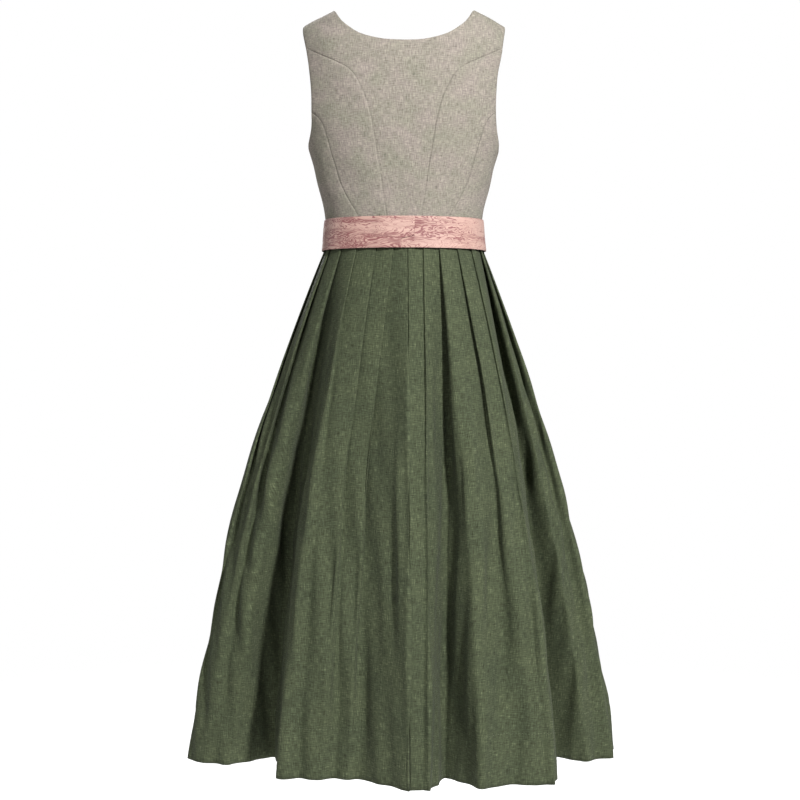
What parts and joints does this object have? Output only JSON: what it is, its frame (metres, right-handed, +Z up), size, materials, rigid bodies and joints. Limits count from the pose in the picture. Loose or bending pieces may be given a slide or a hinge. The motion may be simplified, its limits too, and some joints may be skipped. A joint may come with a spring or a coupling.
{
  "type": "dirndl",
  "caption": "Sleeveless dirndl dress worn on an unseen figure: fitted seamed bodice, wide scoop neck, lapped patterned belt and long knife-pleated flared skirt.",
  "frame": {"origin": "midway between the two shoulder seams, where the wearer's shoulders carry the dress", "axes": "+Z up, -Y the wearer's back, which the picture shows, +X the wearer's right"},
  "size_m": [0.7237, 0.4589, 1.2452],
  "materials": {
    "bodice": "matte melange linen, plain weave",
    "skirt": "matte grey-green linen, plain weave",
    "belt": "pale pink jacquard with dusty rose curling figures"
  },
  "bodies": {
    "root": {"bodice_back": "bodice", "bodice_back_side_left": "bodice", "bodice_back_side_right": "bodice", "bodice_underarm_left": "bodice", "bodice_underarm_right": "bodice", "bodice_front_side_left": "bodice", "bodice_front_side_right": "bodice", "bodice_front_left": "bodice", "bodice_front_right": "bodice", "skirt_back_left": "skirt", "skirt_back_right": "skirt", "skirt_front_left": "skirt", "skirt_front_right": "skirt", "belt": "belt"}
  },
  "joints": []
}
